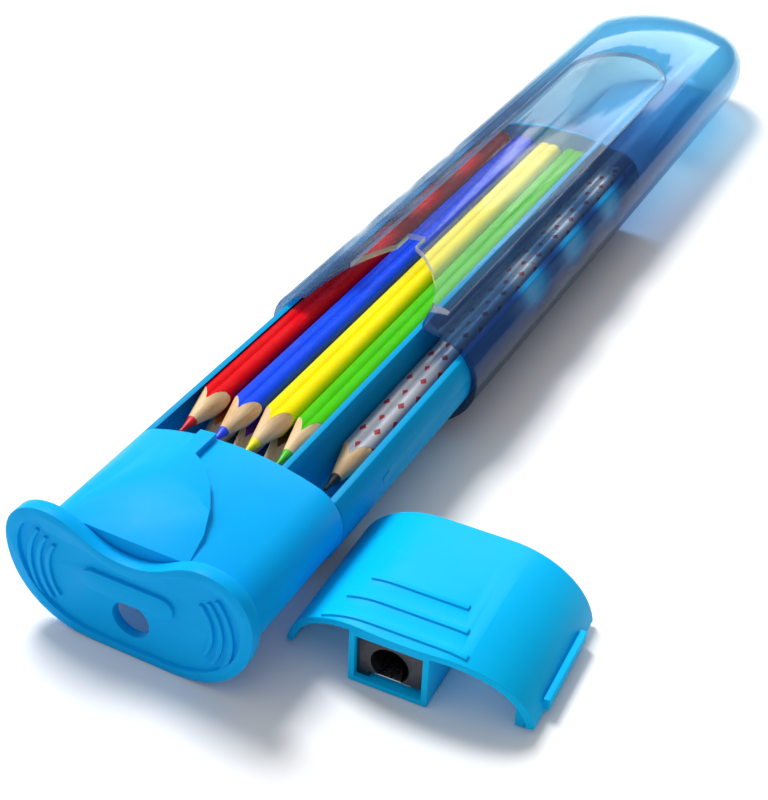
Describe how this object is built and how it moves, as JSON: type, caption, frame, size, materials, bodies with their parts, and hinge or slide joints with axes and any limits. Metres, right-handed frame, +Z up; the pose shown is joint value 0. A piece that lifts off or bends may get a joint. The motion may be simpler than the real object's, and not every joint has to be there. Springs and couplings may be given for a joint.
{
  "type": "pencil case with sharpener",
  "caption": "Flat slide-out pencil case: translucent sleeve with a clear panel, a drawer of pencils, and a head whose loose cover carries a wedge sharpener.",
  "frame": {"origin": "on the flat underside of the sleeve, on its middle line, 222 mm back from the head's front face", "axes": "+Y towards the sleeve's closed end, +Z up, +X to the right seen from the head"},
  "size_m": [0.1103, 0.34, 0.031],
  "materials": {
    "sleeve": "clear tinted, polished",
    "window": "clear, polished",
    "body_blue": "satin moulded",
    "block_metal": "milled",
    "blade_steel": "ground",
    "screw": "bright",
    "pencil_wood": "raw, sharpened",
    "paint_red": "lacquer",
    "lead_red": "waxy pigment",
    "paint_blue": "lacquer",
    "lead_blue": "waxy pigment",
    "paint_yellow": "lacquer",
    "lead_yellow": "waxy pigment",
    "paint_green": "lacquer",
    "lead_green": "waxy pigment",
    "paint_orange": "lacquer",
    "lead_orange": "waxy pigment",
    "paint_violet": "lacquer",
    "lead_violet": "waxy pigment",
    "paint_brown": "lacquer",
    "lead_brown": "waxy pigment",
    "paint_black": "lacquer",
    "lead_black": "waxy pigment",
    "paint_graphite": "silver lacquer with small dark diamonds",
    "lead_graphite": "graphite"
  },
  "bodies": {
    "case": {"sleeve_shell": "sleeve", "window_panel": "window"},
    "drawer": {"tray": "body_blue", "head_housing": "body_blue", "front_plate": "body_blue", "pencil_red_casing": "paint_red", "pencil_red_wood": "pencil_wood", "pencil_red_lead": "lead_red", "pencil_blue_casing": "paint_blue", "pencil_blue_wood": "pencil_wood", "pencil_blue_lead": "lead_blue", "pencil_yellow_casing": "paint_yellow", "pencil_yellow_wood": "pencil_wood", "pencil_yellow_lead": "lead_yellow", "pencil_green_casing": "paint_green", "pencil_green_wood": "pencil_wood", "pencil_green_lead": "lead_green", "pencil_orange_casing": "paint_orange", "pencil_orange_wood": "pencil_wood", "pencil_orange_lead": "lead_orange", "pencil_violet_casing": "paint_violet", "pencil_violet_wood": "pencil_wood", "pencil_violet_lead": "lead_violet", "pencil_brown_casing": "paint_brown", "pencil_brown_wood": "pencil_wood", "pencil_brown_lead": "lead_brown", "pencil_black_casing": "paint_black", "pencil_black_wood": "pencil_wood", "pencil_black_lead": "lead_black", "pencil_graphite_casing": "paint_graphite", "pencil_graphite_wood": "pencil_wood", "pencil_graphite_lead": "lead_graphite"},
    "hatch": {"hatch_cover": "body_blue", "sharpener_block": "block_metal", "sharpener_blade": "blade_steel", "blade_screw": "screw"}
  },
  "joints": [
    {"name": "drawer_slide", "type": "slide", "parent": "case", "child": "drawer", "axis": [0, 1, 0], "range_m": [-0.095, 0.098]},
    {"name": "hatch_slide", "type": "slide", "parent": "case", "child": "hatch", "axis": [1, 0, 0], "range_m": [0, 0.06]}
  ]
}
